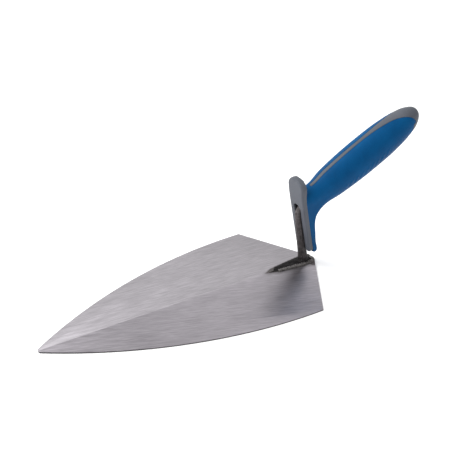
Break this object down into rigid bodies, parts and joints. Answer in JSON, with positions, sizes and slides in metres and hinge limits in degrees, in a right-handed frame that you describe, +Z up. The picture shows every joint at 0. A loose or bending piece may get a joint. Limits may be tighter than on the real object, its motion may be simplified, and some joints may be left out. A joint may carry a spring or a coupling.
{
  "type": "brick trowel",
  "caption": "Bricklaying trowel: flat triangular ground-steel blade, welded forged shank and a raised two-part moulded handle with a guard plate.",
  "frame": {"origin": "on the blade's flat underside, on its centre line, directly below the root of the shank", "axes": "+X from the blade's tip towards the butt of the handle, +Y across the blade, +Z up"},
  "size_m": [0.3848, 0.14, 0.1385],
  "materials": {
    "blade_steel": "ground",
    "forged_steel": "dark forged",
    "weld_metal": "as welded",
    "grey_plastic": "satin",
    "blue_rubber": "fine matt texture"
  },
  "bodies": {
    "root": {"blade": "blade_steel", "shank": "forged_steel", "weld_bead_left": "weld_metal", "weld_bead_right": "weld_metal", "weld_bead_heel": "weld_metal", "handle_core": "grey_plastic", "soft_grip": "blue_rubber"}
  },
  "joints": []
}
